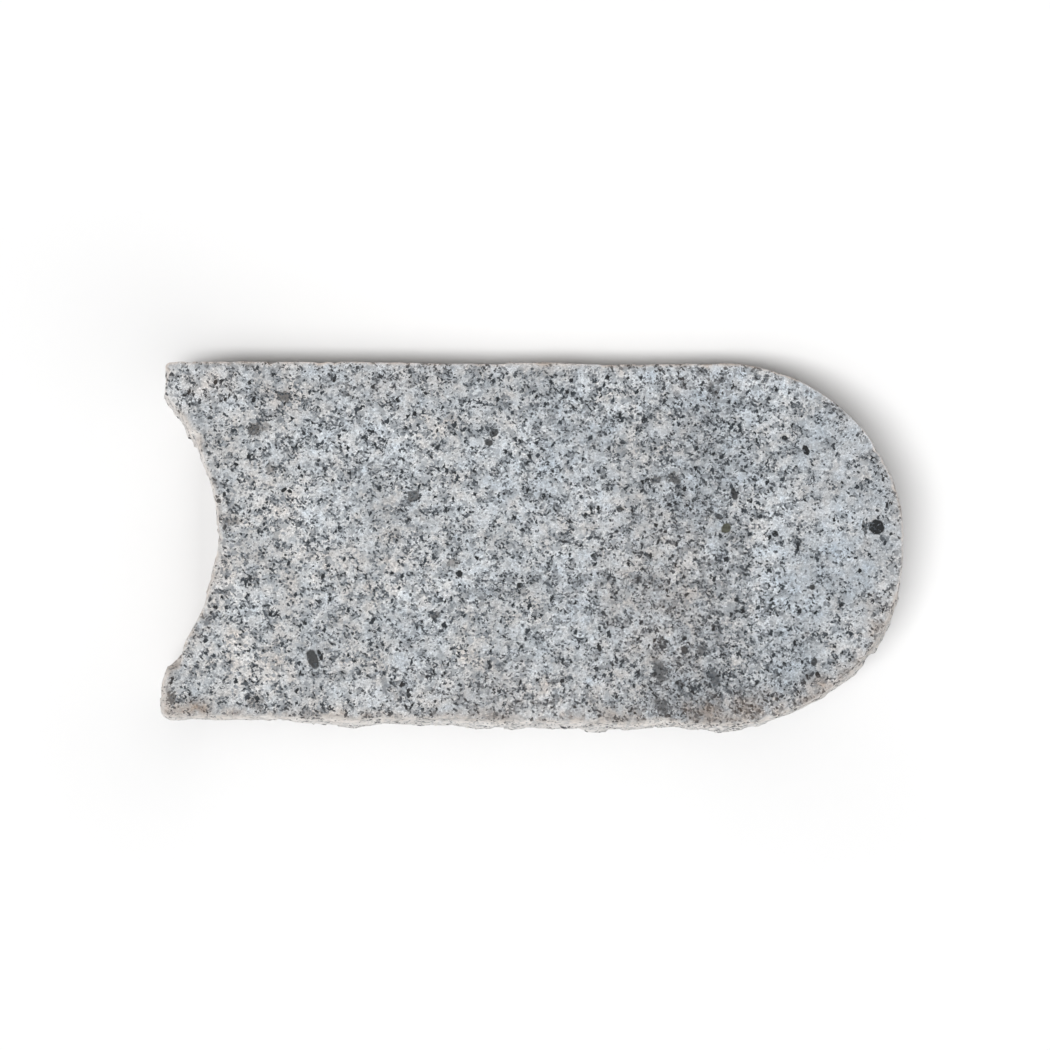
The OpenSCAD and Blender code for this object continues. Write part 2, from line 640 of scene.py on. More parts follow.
@dataclass
class KerbStone:
    """The stone as one closed mesh, with the finish that it carries."""

    plan: StonePlan
    wear: ArrisWear
    weather: Weather
    sheet: BakeSheet
    height: float
    # Rows by each arris in bevels, the way along the plan that a column's direction is taken over,
    # and how split the arris itself is
    edge_rows: tuple[float, ...] = (0.0, 1.0, 3.0)
    facing_reach: float = 3.5
    arris_split: float = 0.5
    # Grain of the sawn faces: its depth, with the mean and the swing as parts of that, its size, and
    # the height and place of its finer half
    tread_relief: float = 0.1
    tread_mean: float = 0.75
    tread_swing: float = 0.5
    tread_grain: float = 2.6
    fine_height: float = 0.5
    fine_ratio: float = 2.2
    fine_shift: float = 13.0
    pit_reach: float = 4.0
    pit_depth: float = 0.6

    def levels(self) -> Array:
        """Space the rows of the side, closer together by both arrises."""
        edge = self.wear.bevel * np.array(self.edge_rows)
        gap = self.plan.cell
        inner = np.arange(1, round((self.height - 2.0 * edge[-1]) / gap))
        inner = edge[-1] + inner * (self.height - 2.0 * edge[-1]) / (len(inner) + 1)
        return np.concatenate([edge, inner, self.height - edge[::-1]])

    def outward(self, ring: Array) -> Array:
        """Give the direction square to the line through the columns a few cells either side."""
        reach = round(self.facing_reach / self.plan.cell)
        along = np.roll(ring, -reach, axis=0) - np.roll(ring, reach, axis=0)
        square = np.stack([along[:, 1], -along[:, 0]], axis=-1)
        return square / np.linalg.norm(square, axis=-1, keepdims=True)

    def pits(self, out: Array) -> Array:
        """Give how far each point of the side lies in a pit, from 0 to 1.

        It is the mean of the points around it less its own height, over the depth of a full pit.

        Args:
            out: How far the side stands out, by row and column.

        Returns:
            One value for each row and column.
        """
        reach = round(self.pit_reach / self.plan.cell)
        steps = range(-reach, reach + 1)
        mean = sum(np.roll(out, step, axis=1) for step in steps) / len(steps)
        padded = np.pad(mean, ((reach, reach), (0, 0)), mode="edge")
        mean = sum(padded[step: step + len(out)] for step in range(len(steps))) / len(steps)
        return np.clip((mean - out) / self.pit_depth, 0.0, 1.0)

    def side(self, ring: Array) -> tuple[Array, Array, Array]:
        """Carry the split profile round the plan.

        A point is its column's place on the plan, moved outwards by the fracture, and back in
        by the bevel, by what has crumbled off the nearer arris and by the flake.

        Args:
            ring: The columns' places on the plan.

        Returns:
            Points by row and column, and how worn and how far in a pit each of them is, from 0 to 1.
        """
        levels = self.levels()
        wall = np.empty((len(levels), len(ring), 3))
        wall[..., :2] = ring
        wall[..., 2] = levels[:, None]
        outward = self.outward(ring)
        out = self.plan.stand_out(wall, outward, self.height)
        pits = self.pits(out)
        points = wall.copy()
        worn = np.zeros(out.shape)
        for edge_level, down in ((0.0, -1.0), (self.height, 1.0)):
            edge = wall[0].copy()
            edge[:, 2] = edge_level
            loss = self.wear.crumble(edge)
            near = self.wear.fade(levels - edge_level)[:, None]
            bevel = self.wear.bevel * np.clip(1.0 - np.abs(levels - edge_level) / self.wear.bevel, 0.0, 1.0)
            out -= near * loss + bevel[:, None]
            at_edge = np.isclose(levels, edge_level)[:, None]
            points[..., 2] -= down * np.where(at_edge, self.wear.drop * loss, 0.0)
            worn += near * np.clip(self.wear.paling + loss / self.wear.depth, 0.0, 1.0)
        out -= self.wear.flaked(wall, self.height - wall[..., 2])
        points[..., :2] += outward * out[..., None]
        return points, np.clip(worn, 0.0, 1.0), pits

    def sawn_face(self, edge: Array, level: float, up: float) -> tuple[Array, Array]:
        """Fill the ring of an arris with a patch of four edges.

        The patch is the sum of the blends between its two pairs of opposite edges, less the
        blend of its four corners. Its grain is shallow noise, and it falls away where the
        arris has crumbled.

        Args:
            edge: Points of the arris, counter-clockwise from the front horn.
            level: Height of the sawn plane.
            up: 1 for the tread, which faces up, and -1 for the bed.

        Returns:
            Points by cell along and across the stone, and how worn each of them is.
        """
        along, across = self.plan.counts()
        closed = np.concatenate([edge, edge[:1]])[:, :2]
        front = closed[: along + 1]
        nose = closed[along: along + across + 1]
        back = closed[along + across: 2 * along + across + 1][::-1]
        hollow = closed[2 * along + across:][::-1]
        u = np.linspace(0.0, 1.0, along + 1)[:, None, None]
        v = np.linspace(0.0, 1.0, across + 1)[None, :, None]
        flat = (1.0 - v) * front[:, None] + v * back[:, None] + (1.0 - u) * hollow[None] + u * nose[None]
        hollow_corners = (1.0 - v) * front[0] + v * back[0]
        nose_corners = (1.0 - v) * front[-1] + v * back[-1]
        flat -= (1.0 - u) * hollow_corners + u * nose_corners
        points = np.concatenate([flat, np.full(flat.shape[:2] + (1,), level)], axis=-1)
        near = self.wear.fade(np.maximum(self.plan.depth(points), 0.0))
        loss = self.wear.crumble(points)
        fine = noise(points / self.tread_grain * self.fine_ratio + self.fine_shift)
        grain = noise(points / self.tread_grain) + self.fine_height * fine
        sunk = self.tread_relief * (self.tread_mean + self.tread_swing * grain)
        points[..., 2] -= up * (self.wear.drop * near * loss + sunk)
        bruised = np.exp(-((np.maximum(self.plan.depth(points), 0.0) / self.wear.bruise) ** 2))
        return points, np.clip(bruised * (self.wear.paling + loss / self.wear.depth), 0.0, 1.0)

    def patch_indices(self, first: int, ring_start: int) -> Array:
        """Number a sawn face's grid: its edge takes the ring's vertices, and its inside new ones.

        Args:
            first: Number of the first new vertex.
            ring_start: Number of the ring's first vertex.

        Returns:
            Vertex numbers by cell along and across the stone.
        """
        along, across = self.plan.counts()
        count = 2 * (along + across)
        index = np.empty((along + 1, across + 1), dtype=np.int64)
        index[1:-1, 1:-1] = first + np.arange((along - 1) * (across - 1)).reshape(along - 1, across - 1)
        index[:, 0] = ring_start + np.arange(along + 1)
        index[-1, :] = ring_start + along + np.arange(across + 1)
        index[:, -1] = ring_start + along + across + np.arange(along, -1, -1)
        index[0, :] = ring_start + (2 * along + across + np.arange(across, -1, -1)) % count
        return index

    def build(self) -> bpy.types.Object:
        """Make the stone's mesh, with its bake map and the values that its finish reads.

        Returns:
            The stone's object, at the origin.
        """
        ring = self.plan.ring()
        columns = len(ring)
        side, side_worn, side_pits = self.side(ring)
        rows = len(side)
        tread, tread_worn = self.sawn_face(side[-1], self.height, 1.0)
        bed, bed_worn = self.sawn_face(side[0], 0.0, -1.0)

        inner = (slice(1, -1), slice(1, -1))
        points = np.concatenate([part.reshape(-1, 3) for part in (side, tread[inner], bed[inner])])
        worn = np.concatenate([part.ravel() for part in (side_worn, tread_worn[inner], bed_worn[inner])])
        split = np.zeros(len(points))
        split[: rows * columns] = 1.0
        split[:columns] = split[(rows - 1) * columns: rows * columns] = self.arris_split
        pits = np.zeros(len(points))
        pits[: rows * columns] = side_pits.ravel()
        side_film = self.weather.on_side(self.outward(ring), self.height - self.levels())
        tread_film = self.weather.on_tread(tread, self.plan.depth(tread), self.plan.width)[inner]
        film = np.concatenate([side_film.ravel(), tread_film.ravel(), np.zeros(bed[inner].size // 3)])
        fields = {
            "worn": worn, "split": split, "film": film, "pits": pits, "shade": self.weather.shade(points)}

        wall = np.arange(rows * columns).reshape(rows, columns)
        wall = np.concatenate([wall, wall[:, :1]], axis=1)
        tread_index = self.patch_indices(rows * columns, (rows - 1) * columns)
        bed_index = self.patch_indices(rows * columns + tread[inner].size // 3, 0)
        wall_cells = grid_cells(wall.T).reshape(-1, 4)
        tread_cells = grid_cells(tread_index).reshape(-1, 4)
        bed_cells = grid_cells(bed_index).reshape(-1, 4)[:, ::-1]
        faces = np.concatenate([wall_cells, tread_cells, bed_cells])
        maps = np.concatenate([
            self.side_map(ring),
            self.sheet.tread(points[tread_cells], self.plan).reshape(-1, 2),
            self.sheet.bed(points[bed_cells], self.plan).reshape(-1, 2),
        ])
        return self.to_object(points, faces, maps, fields)

    def side_map(self, ring: Array) -> Array:
        """Lay the cells of the split side on the bake sheet, by length along the plan and height.

        Args:
            ring: The columns' places on the plan.

        Returns:
            Map coordinates for each corner of each cell.
        """
        steps = np.linalg.norm(np.diff(np.concatenate([ring, ring[:1]]), axis=0), axis=-1)
        run = np.concatenate([[0.0], np.cumsum(steps)])
        run_grid, level_grid = np.meshgrid(run, self.levels(), indexing="ij")
        corners = grid_cells(np.arange(run_grid.size).reshape(run_grid.shape)).reshape(-1, 4)
        runs, levels = run_grid.ravel()[corners], level_grid.ravel()[corners]
        return self.sheet.side(runs, levels, run[-1], self.plan, self.height).reshape(-1, 2)

    def to_object(
        self, points: Array, faces: Array, maps: Array, fields: dict[str, Array]
    ) -> bpy.types.Object:
        """Write arrays of points and cells into a mesh object.

        Args:
            points: Vertex places in millimetres.
            faces: Four vertex numbers for each face.
            maps: Bake map coordinates for each corner of each face.
            fields: Values for each vertex, by the name that the finish reads them under.

        Returns:
            The new object, linked to the scene.
        """
        mesh = bpy.data.meshes.new(NODE)
        mesh.vertices.add(len(points))
        mesh.vertices.foreach_set("co", (points * MM).ravel())
        mesh.loops.add(faces.size)
        mesh.loops.foreach_set("vertex_index", faces.ravel())
        mesh.polygons.add(len(faces))
        mesh.polygons.foreach_set("loop_start", np.arange(0, faces.size, 4))
        mesh.update(calc_edges=True)
        mesh.polygons.foreach_set("use_smooth", np.ones(len(faces), dtype=bool))
        bake = mesh.uv_layers.new(name="OFBake")
        bake.data.foreach_set("uv", maps.ravel())
        for name, values in fields.items():
            mesh.attributes.new(name, "FLOAT", "POINT").data.foreach_set("value", values)
        mesh.validate()
        stone = bpy.data.objects.new("kerb_stone_granite", mesh)
        bpy.context.scene.collection.objects.link(stone)
        return stone

    def dress(self, stone: bpy.types.Object, finish: "Granite") -> None:
        """Give the stone its granite, and let it stand for the plain solid."""
        stone.data.materials.append(finish.material())
        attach(stone, "root")
        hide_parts(NODE)


# Finish of the stone


# The film's own colour, and the tint that it gives to what shows through
RUST_FILM: Colour = (0.42, 0.31, 0.25)
RUST_TINT: Colour = (0.8, 0.63, 0.49)

# Factors from cool to warm patches of the ground
WARMTH: Stops = ((0.25, (0.95, 0.99, 1.03)), (0.5, (1.0, 1.0, 1.0)), (0.75, (1.035, 0.985, 0.945)))

# Share of its own colour from which a crystal counts as opaque
OPAQUE_FROM = 0.8

# Numbers of the colour sockets of a mix node
MIX_SHARE = 0
MIX_FIRST = 6
MIX_SECOND = 7
MIX_RESULT = 2


@dataclass(frozen=True)
class Patches:
    """Noise of one size in millimetres, eased from between two of its values into a range."""

    size: float
    detail: float
    rough: float
    low: float
    high: float
    start: float
    end: float


@dataclass(frozen=True)
class Mottle:
    """Noise of one size in millimetres that multiplies a colour by factors along its values.

    The lift takes the noise from another level, so that it differs from the others.
    """

    size: float
    detail: float
    rough: float
    stops: Stops
    lift: float = 0.0


class Bench:
    """Sets out the nodes of one material, or of the sky, and joins them."""

    def __init__(self, owner: bpy.types.Material | bpy.types.World) -> None:
        """Start on an empty node tree of the material or sky."""
        owner.use_nodes = True
        self.tree = owner.node_tree
        self.tree.nodes.clear()

    def node(self, kind: str, inputs: dict[str | int, object], **settings: object) -> bpy.types.Node:
        """Add a node, set its options, and join or set its inputs.

        Args:
            kind: Node type.
            inputs: Sockets to join, or values to set, by the input's name or number.
            **settings: Options of the node.

        Returns:
            The node.
        """
        made = self.tree.nodes.new(kind)
        for name, value in settings.items():
            setattr(made, name, value)
        for name, value in inputs.items():
            if isinstance(value, bpy.types.NodeSocket):
                self.tree.links.new(value, made.inputs[name])
            else:
                made.inputs[name].default_value = value
        return made

    def sum(self, operation: str, first: object, second: object = 0.0) -> Socket:
        """Join two numbers by an arithmetic operation."""
        return self.node("ShaderNodeMath", {0: first, 1: second}, operation=operation).outputs[0]

    def vector(self, operation: str, first: object, second: object) -> Socket:
        """Join two vectors by an arithmetic operation."""
        return self.node("ShaderNodeVectorMath", {0: first, 1: second}, operation=operation).outputs[0]

    def flat(self, x: Socket, y: Socket) -> Socket:
        """Join two numbers into a level vector."""
        return self.node("ShaderNodeCombineXYZ", {0: x, 1: y}).outputs[0]

    def length(self, vector: Socket) -> Socket:
        """Give the length of a vector: the root of the sum of the squares."""
        return self.node("ShaderNodeVectorMath", {0: vector}, operation="LENGTH").outputs["Value"]

    def along(self, vector: Socket, way: tuple[float, float, float]) -> Socket:
        """Give how far a vector goes along a way: the sum of the products of their parts."""
        inputs = {0: vector, 1: way}
        return self.node("ShaderNodeVectorMath", inputs, operation="DOT_PRODUCT").outputs["Value"]

    def millimetres(self) -> Socket:
        """Give the place on the piece in millimetres."""
        place = self.node("ShaderNodeTexCoord", {}).outputs["Object"]
        return self.vector("MULTIPLY", place, (1.0 / MM,) * 3)

    def field(self, name: str) -> Socket:
        """Read one of the values that the mesh carries."""
        return self.node("ShaderNodeAttribute", {}, attribute_name=name).outputs["Fac"]

    def span(self, value: Socket, low: float, high: float, start: float = 0.0, end: float = 1.0) -> Socket:
        """Ease a number from one range into another, and hold it at the ends."""
        inputs = {"Value": value, "From Min": low, "From Max": high, "To Min": start, "To Max": end}
        return self.node("ShaderNodeMapRange", inputs, interpolation_type="SMOOTHSTEP").outputs[0]

    def noise(self, place: Socket, size: float, detail: float = 2.0, rough: float = 0.5) -> bpy.types.Node:
        """Add noise whose features are about the given size in millimetres."""
        inputs = {"Vector": place, "Scale": 1.0 / size, "Detail": detail, "Roughness": rough}
        return self.node("ShaderNodeTexNoise", inputs)

    def patches(self, place: Socket, patches: Patches) -> Socket:
        """Add patches, from their start to their end value."""
        made = self.noise(place, patches.size, patches.detail, patches.rough).outputs["Fac"]
        return self.span(made, patches.low, patches.high, patches.start, patches.end)

    def mottle(self, colour: Socket, place: Socket, mottle: Mottle) -> Socket:
        """Multiply a colour by the mottle's factors."""
        lifted = self.vector("ADD", place, (0.0, 0.0, mottle.lift))
        made = self.noise(lifted, mottle.size, mottle.detail, mottle.rough).outputs["Fac"]
        return self.mix(1.0, colour, self.ramp(made, mottle.stops), "MULTIPLY")

    def cells(self, place: Socket, size: float) -> bpy.types.Node:
        """Add crystals of about the given size in millimetres."""
        return self.node("ShaderNodeTexVoronoi", {"Vector": place, "Scale": 1.0 / size}, feature="F1")

    def parts(self, colour: Socket) -> tuple[Socket, Socket, Socket]:
        """Split a colour into its red, green and blue."""
        outputs = self.node("ShaderNodeSeparateColor", {0: colour}).outputs
        return outputs[0], outputs[1], outputs[2]

    def mix(self, share: object, first: object, second: object, blend: str = "MIX") -> Socket:
        """Mix two colours."""
        made = self.node("ShaderNodeMix", {}, data_type="RGBA", blend_type=blend)
        for number, value in ((MIX_SHARE, share), (MIX_FIRST, first), (MIX_SECOND, second)):
            if isinstance(value, bpy.types.NodeSocket):
                self.tree.links.new(value, made.inputs[number])
            else:
                made.inputs[number].default_value = value if number == MIX_SHARE else (*value, 1.0)
        return made.outputs[MIX_RESULT]

    def ramp(self, value: Socket, stops: Stops) -> Socket:
        """Colour a number by stops along a ramp."""
        made = self.node("ShaderNodeValToRGB", {0: value})
        elements = made.color_ramp.elements
        while len(elements) < len(stops):
            elements.new(1.0)
        for element, (place, colour) in zip(elements, stops):
            element.position = place
            element.color = (*colour, 1.0)
        return made.outputs[0]


class Mineral(Enum):
    """Minerals of the single large crystals in the tread: their colour, and how solid it is."""

    MICA = (grey(22.0, -2.0), 1.0)
    HORNBLENDE = (grey(46.0, -1.0), 0.95)
    OLIVE = ((0.07, 0.073, 0.055), 1.0)
    CLUSTER = (grey(56.0, -2.0), 0.7)
    SMOKY = (grey(74.0, 2.0), 0.78)
    QUARTZ = (grey(110.0, 4.0), 0.6)

    @property
    def colour(self) -> Colour:
        """Colour of a crystal that lets nothing through."""
        return self.value[0]

    @property
    def solid(self) -> float:
        """Share of the colour that shows. The ground shows through the rest."""
        return self.value[1]

    @property
    def opaque(self) -> bool:
        """Whether light hardly goes through."""
        return self.solid > OPAQUE_FROM


@dataclass(frozen=True)
class Crystal:
    """A crystal large enough to be placed by itself, with its half length and half width."""

    x: float
    y: float
    long: float
    wide: float
    turn: float
    mineral: Mineral


@dataclass(frozen=True)
class Grains:
    """One size of crystals in the granite.

    Sparse and crowded are the shares of the cells that hold one where the dark minerals are
    fewest and most. Dark and pale are display greys, and solid is how much of the tone shows.
    The crystals are longer than wide by the stretch, and lie at the turn in degrees.
    """

    size: float
    sparse: float
    crowded: float
    dark: float
    pale: float
    solid: float
    stretch: float = 1.0
    turn: float = 0.0


@dataclass(frozen=True)
class Granite:
    """Pale grey medium-grained granite: feldspar and quartz with flecks of dark mica."""

    name: str = "pale_grey_granite"
    crystal_level: float = 50.0
    coolness: float = -3.0
    crystal_coolness: float = -6.0
    # Way along the tread that the granite grows bluer, and the tints at both ends of a full step
    bluer: tuple[float, float, float] = (0.0038, 0.003, 0.0)
    bluer_tints: Stops = ((0.0, (1.035, 1.0, 0.965)), (1.0, (0.965, 1.0, 1.035)))
    # Tone that a full shade takes from red, green and blue, and how much it crowds the dark minerals
    shade_tone: Colour = (1.0, 0.97, 0.94)
    shade_crowd: float = 0.5
    # How many of the dark flecks the bruising of the split faces hides, as a shade
    split_hides: float = 0.16
    # Share of black laid into the pits of the split faces: painted shade in the hollows, with some dirt
    pit_shade_and_dirt: float = 0.4
    # Bruised patches of the split faces, pale patches of the crumbled arrises, and rags of the film
    bruises: Patches = Patches(1.3, 3.0, 0.6, 0.36, 0.56, 0.3, 0.95)
    bruise_colour: Colour = grey(245.0, 3.0)
    crumbs: Patches = Patches(2.2, 3.0, 0.5, 0.35, 0.65, 0.1, 0.5)
    crumb_colour: Colour = grey(212.0, 4.0)
    film_rags: Patches = Patches(4.0, 4.0, 0.6, 0.34, 0.66, 0.25, 1.0)
    film_cover: float = 0.25
    # How far noise eats into the large crystals that light goes through, in half sizes, and how
    # many more dark flecks lie in them, as a shade
    crystal_rags: float = 2.6
    crystal_crowd: float = 0.4
    # Size, detail and roughness of the noise in the large crystals, and the range of facets from it
    crystal_noise: tuple[float, float, float] = (0.9, 3.0, 0.6)
    facets: tuple[float, float, float, float] = (0.35, 0.65, 0.6, 1.3)
    # Size and reach of the bends in their edges: of opaque ones, of clear ones, and finer ones of both
    opaque_bend: tuple[float, float] = (2.0, 0.4)
    clear_bend: tuple[float, float] = (2.0, 0.8)
    fine_bend: tuple[float, float] = (0.7, 0.28)
    # Their depth in half widths, and how soft their edges are, with what is added as they clear
    crystal_deep: float = 1.5
    edge_soft: float = 0.1
    clear_soft: float = 0.5
    # Slow noise that the strewn crystals crowd by: its size, detail and roughness, and its values
    # where they are fewest and most
    crowd_noise: tuple[float, float, float] = (3.6, 4.0, 0.62)
    crowd_range: tuple[float, float] = (0.6, 0.36)
    # Size and reach of the bends in the edges of the strewn crystals, in crystal sizes
    grain_bend: tuple[float, float] = (0.55, 0.5)
    layer_gap: float = 31.7
    ground_size: float = 0.5
    ground_bend: tuple[float, float] = (0.5, 0.3)
    ground_tones: tuple[tuple[float, float], ...] = (
        (0.0, 176.0), (0.35, 205.0), (0.75, 218.0), (1.0, 236.0))
    sparkle: Mottle = Mottle(0.32, 2.0, 0.7, ((0.3, (0.7,) * 3), (0.7, (1.23,) * 3)))
    clouds: tuple[Mottle, ...] = (
        Mottle(17.0, 4.0, 0.6, ((0.3, (0.78,) * 3), (0.7, (1.13,) * 3))),
        Mottle(14.0, 2.0, 0.5, WARMTH, 98.0),
        Mottle(3.2, 2.0, 0.5, WARMTH, 22.4),
    )
    # Size, detail and roughness of the raised grains, their depth, and their strength on sawn and
    # split faces
    raised_noise: tuple[float, float, float] = (1.0, 4.0, 0.6)
    raised_depth: float = 0.4
    raised_strength: tuple[float, float] = (0.35, 0.6)
    pale_rough: float = 0.78
    dark_rough: float = 0.5
    specular: float = 0.12
    quartz: tuple[Grains, ...] = (
        Grains(1.4, 0.02, 0.5, 115.0, 175.0, 0.6),
        Grains(0.62, 0.05, 0.5, 92.0, 165.0, 0.85),
    )
    mica: tuple[Grains, ...] = (
        Grains(0.33, 0.02, 0.18, 22.0, 115.0, 0.97, 1.4, 25.0),
        Grains(0.5, 0.006, 0.2, 16.0, 90.0, 0.97, 1.5, -40.0),
        Grains(0.8, 0.0, 0.07, 16.0, 60.0, 1.0, 1.3, 70.0),
    )
    crystals: tuple[Crystal, ...] = (
        Crystal(91.5, 5.5, 2.1, 2.0, 30.0, Mineral.MICA),
        Crystal(88.4, 5.4, 2.0, 0.75, 100.0, Mineral.SMOKY),
        Crystal(-58.5, -30.5, 2.7, 1.5, 108.0, Mineral.HORNBLENDE),
        Crystal(-56.5, -29.5, 1.5, 0.6, 110.0, Mineral.MICA),
        Crystal(51.4, 5.0, 1.4, 1.25, 20.0, Mineral.OLIVE),
        Crystal(49.5, 8.0, 1.1, 0.7, 150.0, Mineral.HORNBLENDE),
        Crystal(64.5, 3.5, 0.9, 0.8, 0.0, Mineral.MICA),
        Crystal(72.5, 26.0, 1.4, 0.9, 120.0, Mineral.MICA),
        Crystal(67.0, 29.0, 0.9, 0.7, 0.0, Mineral.MICA),
        Crystal(53.5, 14.0, 1.6, 0.9, 110.0, Mineral.HORNBLENDE),
        Crystal(37.5, 18.0, 1.9, 1.4, 160.0, Mineral.SMOKY),
        Crystal(32.5, 18.0, 1.4, 1.1, 20.0, Mineral.SMOKY),
        Crystal(23.0, 10.0, 0.9, 0.8, 0.0, Mineral.HORNBLENDE),
        Crystal(74.5, -10.5, 0.8, 0.8, 0.0, Mineral.HORNBLENDE),
        Crystal(75.0, -30.5, 1.1, 0.8, 80.0, Mineral.HORNBLENDE),
        Crystal(76.0, -34.0, 0.9, 0.6, 120.0, Mineral.MICA),
        Crystal(40.5, -27.5, 1.2, 0.8, 90.0, Mineral.HORNBLENDE),
        Crystal(45.2, -27.5, 1.9, 1.2, 70.0, Mineral.CLUSTER),
        Crystal(34.0, -33.8, 2.9, 1.7, 105.0, Mineral.CLUSTER),
        Crystal(34.8, -42.6, 3.8, 1.4, 132.0, Mineral.CLUSTER),
        Crystal(48.8, -34.8, 2.2, 1.3, 110.0, Mineral.CLUSTER),
        Crystal(39.5, -36.6, 1.3, 1.1, 0.0, Mineral.CLUSTER),
        Crystal(-74.5, 30.5, 2.0, 1.7, 30.0, Mineral.SMOKY),
        Crystal(-72.5, 31.5, 2.4, 1.7, 30.0, Mineral.QUARTZ),
        Crystal(-96.0, -41.0, 1.8, 1.2, 90.0, Mineral.SMOKY),
        Crystal(-73.5, -42.0, 2.2, 1.9, 0.0, Mineral.QUARTZ),
        Crystal(-32.0, 13.0, 2.0, 1.6, 0.0, Mineral.SMOKY),
        Crystal(-10.5, 30.0, 1.3, 1.0, 45.0, Mineral.HORNBLENDE),
        Crystal(-12.0, 27.5, 1.2, 0.9, 0.0, Mineral.HORNBLENDE),
        Crystal(-19.5, -7.5, 1.0, 0.9, 0.0, Mineral.MICA),
        Crystal(-26.0, -18.5, 1.2, 1.0, 0.0, Mineral.SMOKY),
        Crystal(-3.5, -10.5, 0.9, 0.8, 0.0, Mineral.MICA),
        Crystal(-66.4, 14.5, 0.8, 0.5, 50.0, Mineral.MICA),
        Crystal(-64.9, 14.2, 0.8, 0.45, -25.0, Mineral.MICA),
        Crystal(-70.2, 20.5, 1.6, 1.1, 70.0, Mineral.QUARTZ),
        Crystal(-79.5, 6.0, 2.2, 1.0, 0.0, Mineral.QUARTZ),
        Crystal(-66.5, 39.5, 1.9, 1.5, 0.0, Mineral.SMOKY),
        Crystal(-21.0, -5.0, 1.7, 1.2, 20.0, Mineral.QUARTZ),
    )

    def material(self) -> bpy.types.Material:
        """Set out the granite's nodes.

        Returns:
            The finished material.
        """
        stone = bpy.data.materials.new(self.name)
        bench = Bench(stone)
        place = bench.millimetres()
        split = bench.field("split")
        shade = bench.field("shade")

        colour = self.tints(bench, self.ground(bench, place), place, shade)
        for number, layer in enumerate(self.quartz):
            colour, _ = self.grained(bench, colour, place, shade, layer, number)
        colour, clear = self.placed(bench, colour, place, False)
        colour, dark = self.placed(bench, colour, place, True)
        colour = self.bruised(bench, colour, place, split)
        flecks = bench.sum("SUBTRACT", shade, bench.sum("MULTIPLY", split, self.split_hides))
        flecks = bench.sum("ADD", flecks, bench.sum("MULTIPLY", clear, self.crystal_crowd))
        for number, layer in enumerate(self.mica, len(self.quartz)):
            colour, shows = self.grained(bench, colour, place, flecks, layer, number)
            dark = bench.sum("MAXIMUM", dark, shows)
        colour = self.weather(bench, colour, place, bench.field("worn"), bench.field("film"))
        # Painted shade, with some dirt: the pits of the split faces are darkened towards black
        colour = bench.mix(bench.sum("MULTIPLY", bench.field("pits"), self.pit_shade_and_dirt), colour, (0.0,) * 3)

        shader = bench.node("ShaderNodeBsdfPrincipled", {
            "Base Color": colour,
            "Roughness": bench.span(dark, 0.0, 1.0, self.pale_rough, self.dark_rough),
            "Specular IOR Level": self.specular,
            "Normal": self.relief(bench, place, split),
        })
        bench.node("ShaderNodeOutputMaterial", {0: shader.outputs[0]})
        return stone

    def bend(self, bench: Bench, place: Socket, size: float, reach: float) -> Socket:
        """Push places about by noise, so that crystals have crooked edges."""
        push = bench.vector("SUBTRACT", bench.noise(place, size).outputs["Color"], (0.5,) * 3)
        return bench.vector("ADD", place, bench.vector("MULTIPLY", push, (reach * 2.0,) * 3))

    def ground(self, bench: Bench, place: Socket) -> Socket:
        """Lay the pale feldspar ground: small crystals, each of its own tone, with a fine sparkle."""
        cell = bench.cells(self.bend(bench, place, *self.ground_bend), self.ground_size)
        own, _, _ = bench.parts(cell.outputs["Color"])
        tones = tuple((share, grey(tone, self.coolness)) for share, tone in self.ground_tones)
        return bench.mottle(bench.ramp(own, tones), place, self.sparkle)

    def tints(self, bench: Bench, colour: Socket, place: Socket, shade: Socket) -> Socket:
        """Shade the ground, make it bluer along the tread, and cloud, warm and cool it in patches."""
        taken = bench.vector("MULTIPLY", bench.sum("ABSOLUTE", shade), self.shade_tone)
        left = bench.vector("SUBTRACT", (1.0,) * 3, taken)
        colour = bench.vector("MULTIPLY", colour, left)
        lean = bench.span(bench.along(place, self.bluer), -1.0, 1.0)
        colour = bench.mix(1.0, colour, bench.ramp(lean, self.bluer_tints), "MULTIPLY")
        for cloud in self.clouds:
            colour = bench.mottle(colour, place, cloud)
        return colour

    def grained(
        self, bench: Bench, colour: Socket, place: Socket, shade: Socket, layer: Grains, number: int
    ) -> tuple[Socket, Socket]:
        """Strew one size of crystals over the stone.

        Space is divided into bent cells of the crystals' size. A cell holds a crystal if its
        chance is below a share, which rises from sparse to crowded as slow noise falls at its
        middle. So every crystal is whole, and all sizes crowd together in the same places.

        Args:
            bench: Where the nodes are set out.
            colour: Colour of the stone without them.
            place: Place in millimetres.
            shade: How dark the granite is, which adds to the crowding.
            layer: The crystals.
            number: Number of the layer, which sets it apart from the others.

        Returns:
            The colour with the crystals, and how much of one lies at each place.
        """
        lie = {
            "Location": (0.0, 0.0, self.layer_gap * (number + 1)),
            "Rotation": (0.0, 0.0, math.radians(layer.turn)),
            "Scale": (layer.stretch, 1.0, 1.0),
        }
        laid = bench.node("ShaderNodeMapping", {"Vector": place, **lie}, vector_type="TEXTURE").outputs[0]
        size, reach = self.grain_bend
        cell = bench.cells(self.bend(bench, laid, size * layer.size, reach * layer.size), layer.size)
        pick, tone, _ = bench.parts(cell.outputs["Color"])
        middle = cell.outputs["Position"]
        spot = bench.node("ShaderNodeMapping", {"Vector": middle, **lie}, vector_type="POINT").outputs[0]
        crowd = bench.noise(spot, *self.crowd_noise).outputs["Fac"]
        crowd = bench.sum("SUBTRACT", crowd, bench.sum("MULTIPLY", shade, self.shade_crowd))
        share = bench.span(crowd, *self.crowd_range, layer.sparse, layer.crowded)
        shows = bench.sum("MULTIPLY", bench.sum("LESS_THAN", pick, share), layer.solid)
        tones = bench.ramp(tone, (
            (0.0, grey(layer.dark, self.coolness)), (1.0, grey(layer.pale, self.crystal_coolness))))
